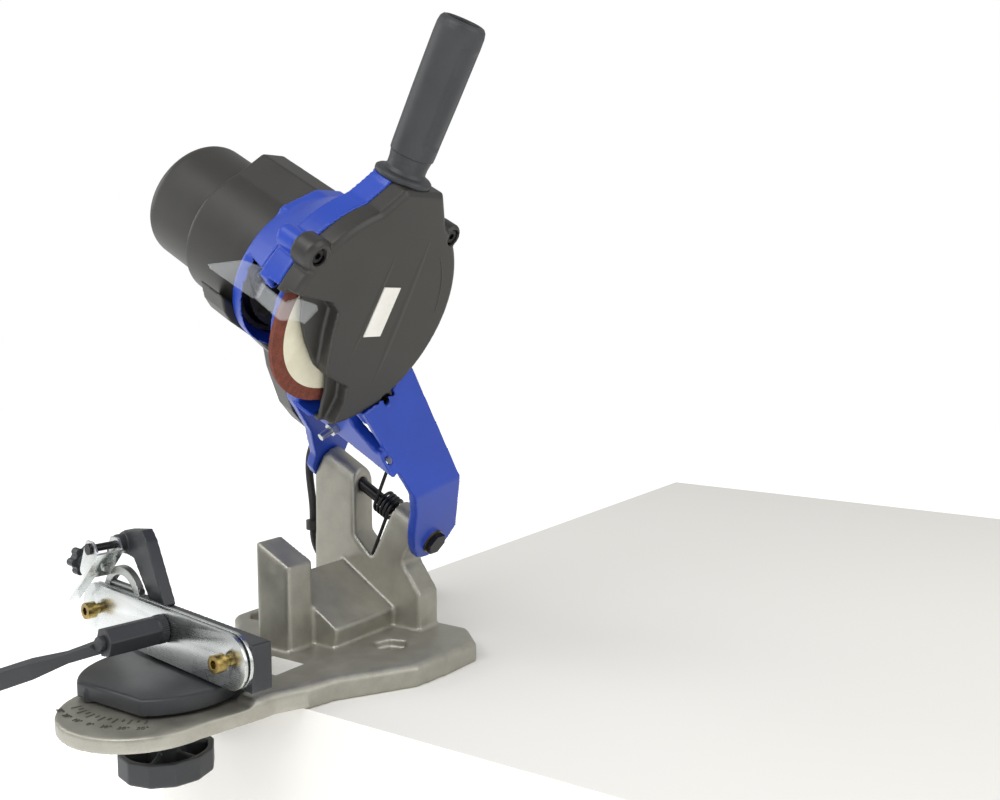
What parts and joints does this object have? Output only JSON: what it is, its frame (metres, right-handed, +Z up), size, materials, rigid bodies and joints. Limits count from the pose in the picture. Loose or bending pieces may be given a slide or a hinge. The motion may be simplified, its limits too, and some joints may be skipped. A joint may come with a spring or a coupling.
{
  "type": "electric chainsaw sharpener",
  "caption": "Bench-bolted grinder whose hinged head lowers a thin abrasive wheel onto a chain held in a turning vise.",
  "frame": {"origin": "midway between the two bench bolt holes, on the underside of the base casting", "axes": "+X towards the wheel-cover side, +Y towards the back, +Z up"},
  "size_m": [0.3605, 0.4427, 0.532],
  "materials": {
    "cast_aluminium": "fine sand-cast, tumbled",
    "blue_plastic": "moulded, satin royal blue",
    "black_paint": "black powder coat on cast aluminium",
    "black_zinc": "black powder coat on die-cast zinc",
    "black_steel": "blackened steel",
    "black_plastic": "moulded, fine spark texture",
    "grip_rubber": "moulded, matt black",
    "abrasive": "vitrified reddish-brown grit",
    "clear_plastic": "clear polycarbonate",
    "zinc_plate": "bright zinc-plated sheet",
    "zinc_steel": "zinc-plated steel",
    "yellow_zinc": "yellow chromated zinc",
    "bearing_steel": "ground steel",
    "copper": "copper segments",
    "lamination": "stacked electrical sheet",
    "carbon": "pressed carbon",
    "cord_pvc": "black PVC",
    "spring_steel": "black oiled spring wire"
  },
  "bodies": {
    "base": {"base_casting": "cast_aluminium", "torsion_spring": "spring_steel", "lead_loop": "cord_pvc", "lead_tail": "cord_pvc", "lead_coil": "cord_pvc", "lead_clip": "black_plastic", "plug": "cord_pvc", "plug_pins": "bearing_steel"},
    "head": {"head_frame": "blue_plastic", "wheel_cover": "black_plastic", "cover_screws": "black_steel", "handle": "grip_rubber", "handle_stud": "zinc_steel", "motor_housing": "black_plastic", "rear_cap": "black_plastic", "stator": "lamination", "carbon_brushes": "carbon", "brush_holders": "copper", "front_bearing": "bearing_steel", "rear_bearing": "bearing_steel", "lower_housing": "black_plastic", "strain_relief": "cord_pvc", "hinge_bolt": "black_steel", "hinge_nut": "yellow_zinc", "hinge_washers": "yellow_zinc", "depth_stop_screw": "zinc_steel", "depth_stop_nut": "zinc_steel", "shield_pin": "black_steel"},
    "wheel": {"spindle": "bearing_steel", "armature": "lamination", "commutator": "copper", "cooling_fan": "black_plastic", "inner_flange": "zinc_steel", "outer_flange": "zinc_steel", "grinding_wheel": "abrasive", "wheel_nut": "zinc_steel"},
    "turntable": {"turntable": "black_paint", "lock_stud": "zinc_steel", "vise_rail": "black_paint", "rear_plate": "zinc_plate", "guide_screws": "yellow_zinc", "stop_arm": "black_paint", "stop_pin": "black_steel", "stop_arch": "zinc_steel", "stop_rod": "zinc_steel"},
    "front_jaw": {"front_plate": "zinc_plate"},
    "clamp_lever": {"clamp_lever": "black_zinc", "clamp_stud": "zinc_steel", "lever_screw": "black_steel"},
    "chain_stop": {"stop_bracket": "zinc_plate"},
    "stop_knob": {"stop_knob": "black_plastic", "stop_screw": "zinc_steel"},
    "lock_knob": {"lock_knob": "black_plastic", "lock_washer": "zinc_steel"},
    "switch_rocker": {"switch_rocker": "black_plastic"},
    "eye_shield": {"eye_shield": "clear_plastic"}
  },
  "joints": [
    {"name": "head_hinge", "type": "hinge", "parent": "base", "child": "head", "pos_m": [0.0213, 0.049, 0.122], "axis": [0.8829, 0, -0.4695], "range_deg": [0, 49], "stiffness_Nm_per_rad": 12, "springref_deg": -20.05, "deforming": ["lead_loop", "torsion_spring"]},
    {"name": "wheel_spin", "type": "hinge", "parent": "head", "child": "wheel", "pos_m": [0.1105, -0.089, 0.28976], "axis": [0.8829, 0, -0.4695], "continuous": true},
    {"name": "turntable_turn", "type": "hinge", "parent": "base", "child": "turntable", "pos_m": [-0.0134, -0.16, 0.02], "axis": [0, 0, 1], "range_deg": [-12, 52]},
    {"name": "clamp_turn", "type": "hinge", "parent": "turntable", "child": "clamp_lever", "pos_m": [-0.02518, -0.17452, 0.055], "axis": [-0.1685, -0.9857, 0], "range_deg": [-180, 0]},
    {"name": "jaw_slide", "type": "slide", "parent": "turntable", "child": "front_jaw", "axis": [-0.1685, -0.9857, 0], "range_m": [-0.00076, 0]},
    {"name": "stop_tilt", "type": "hinge", "parent": "turntable", "child": "chain_stop", "pos_m": [-0.09895, -0.14315, 0.104], "axis": [-0.1685, -0.9857, 0], "range_deg": [-100, 8]},
    {"name": "stop_knob_turn", "type": "hinge", "parent": "chain_stop", "child": "stop_knob", "pos_m": [-0.1341, -0.13511, 0.086], "axis": [0.9857, -0.1685, 0], "continuous": true},
    {"name": "lock_knob_turn", "type": "hinge", "parent": "turntable", "child": "lock_knob", "pos_m": [-0.0134, -0.16, -0.04], "axis": [0, 0, 1], "continuous": true},
    {"name": "switch_press", "type": "hinge", "parent": "head", "child": "switch_rocker", "pos_m": [-0.01856, -0.021, 0.24513], "axis": [0, 1, 0], "range_deg": [0, 16]},
    {"name": "shield_tilt", "type": "hinge", "parent": "head", "child": "eye_shield", "pos_m": [0.11848, -0.163, 0.30477], "axis": [0.8829, 0, -0.4695], "range_deg": [-45, 0]}
  ],
  "couplings": [
    {"joint": "jaw_slide", "follows": "clamp_turn", "m_per_rad": 0.00023873}
  ]
}
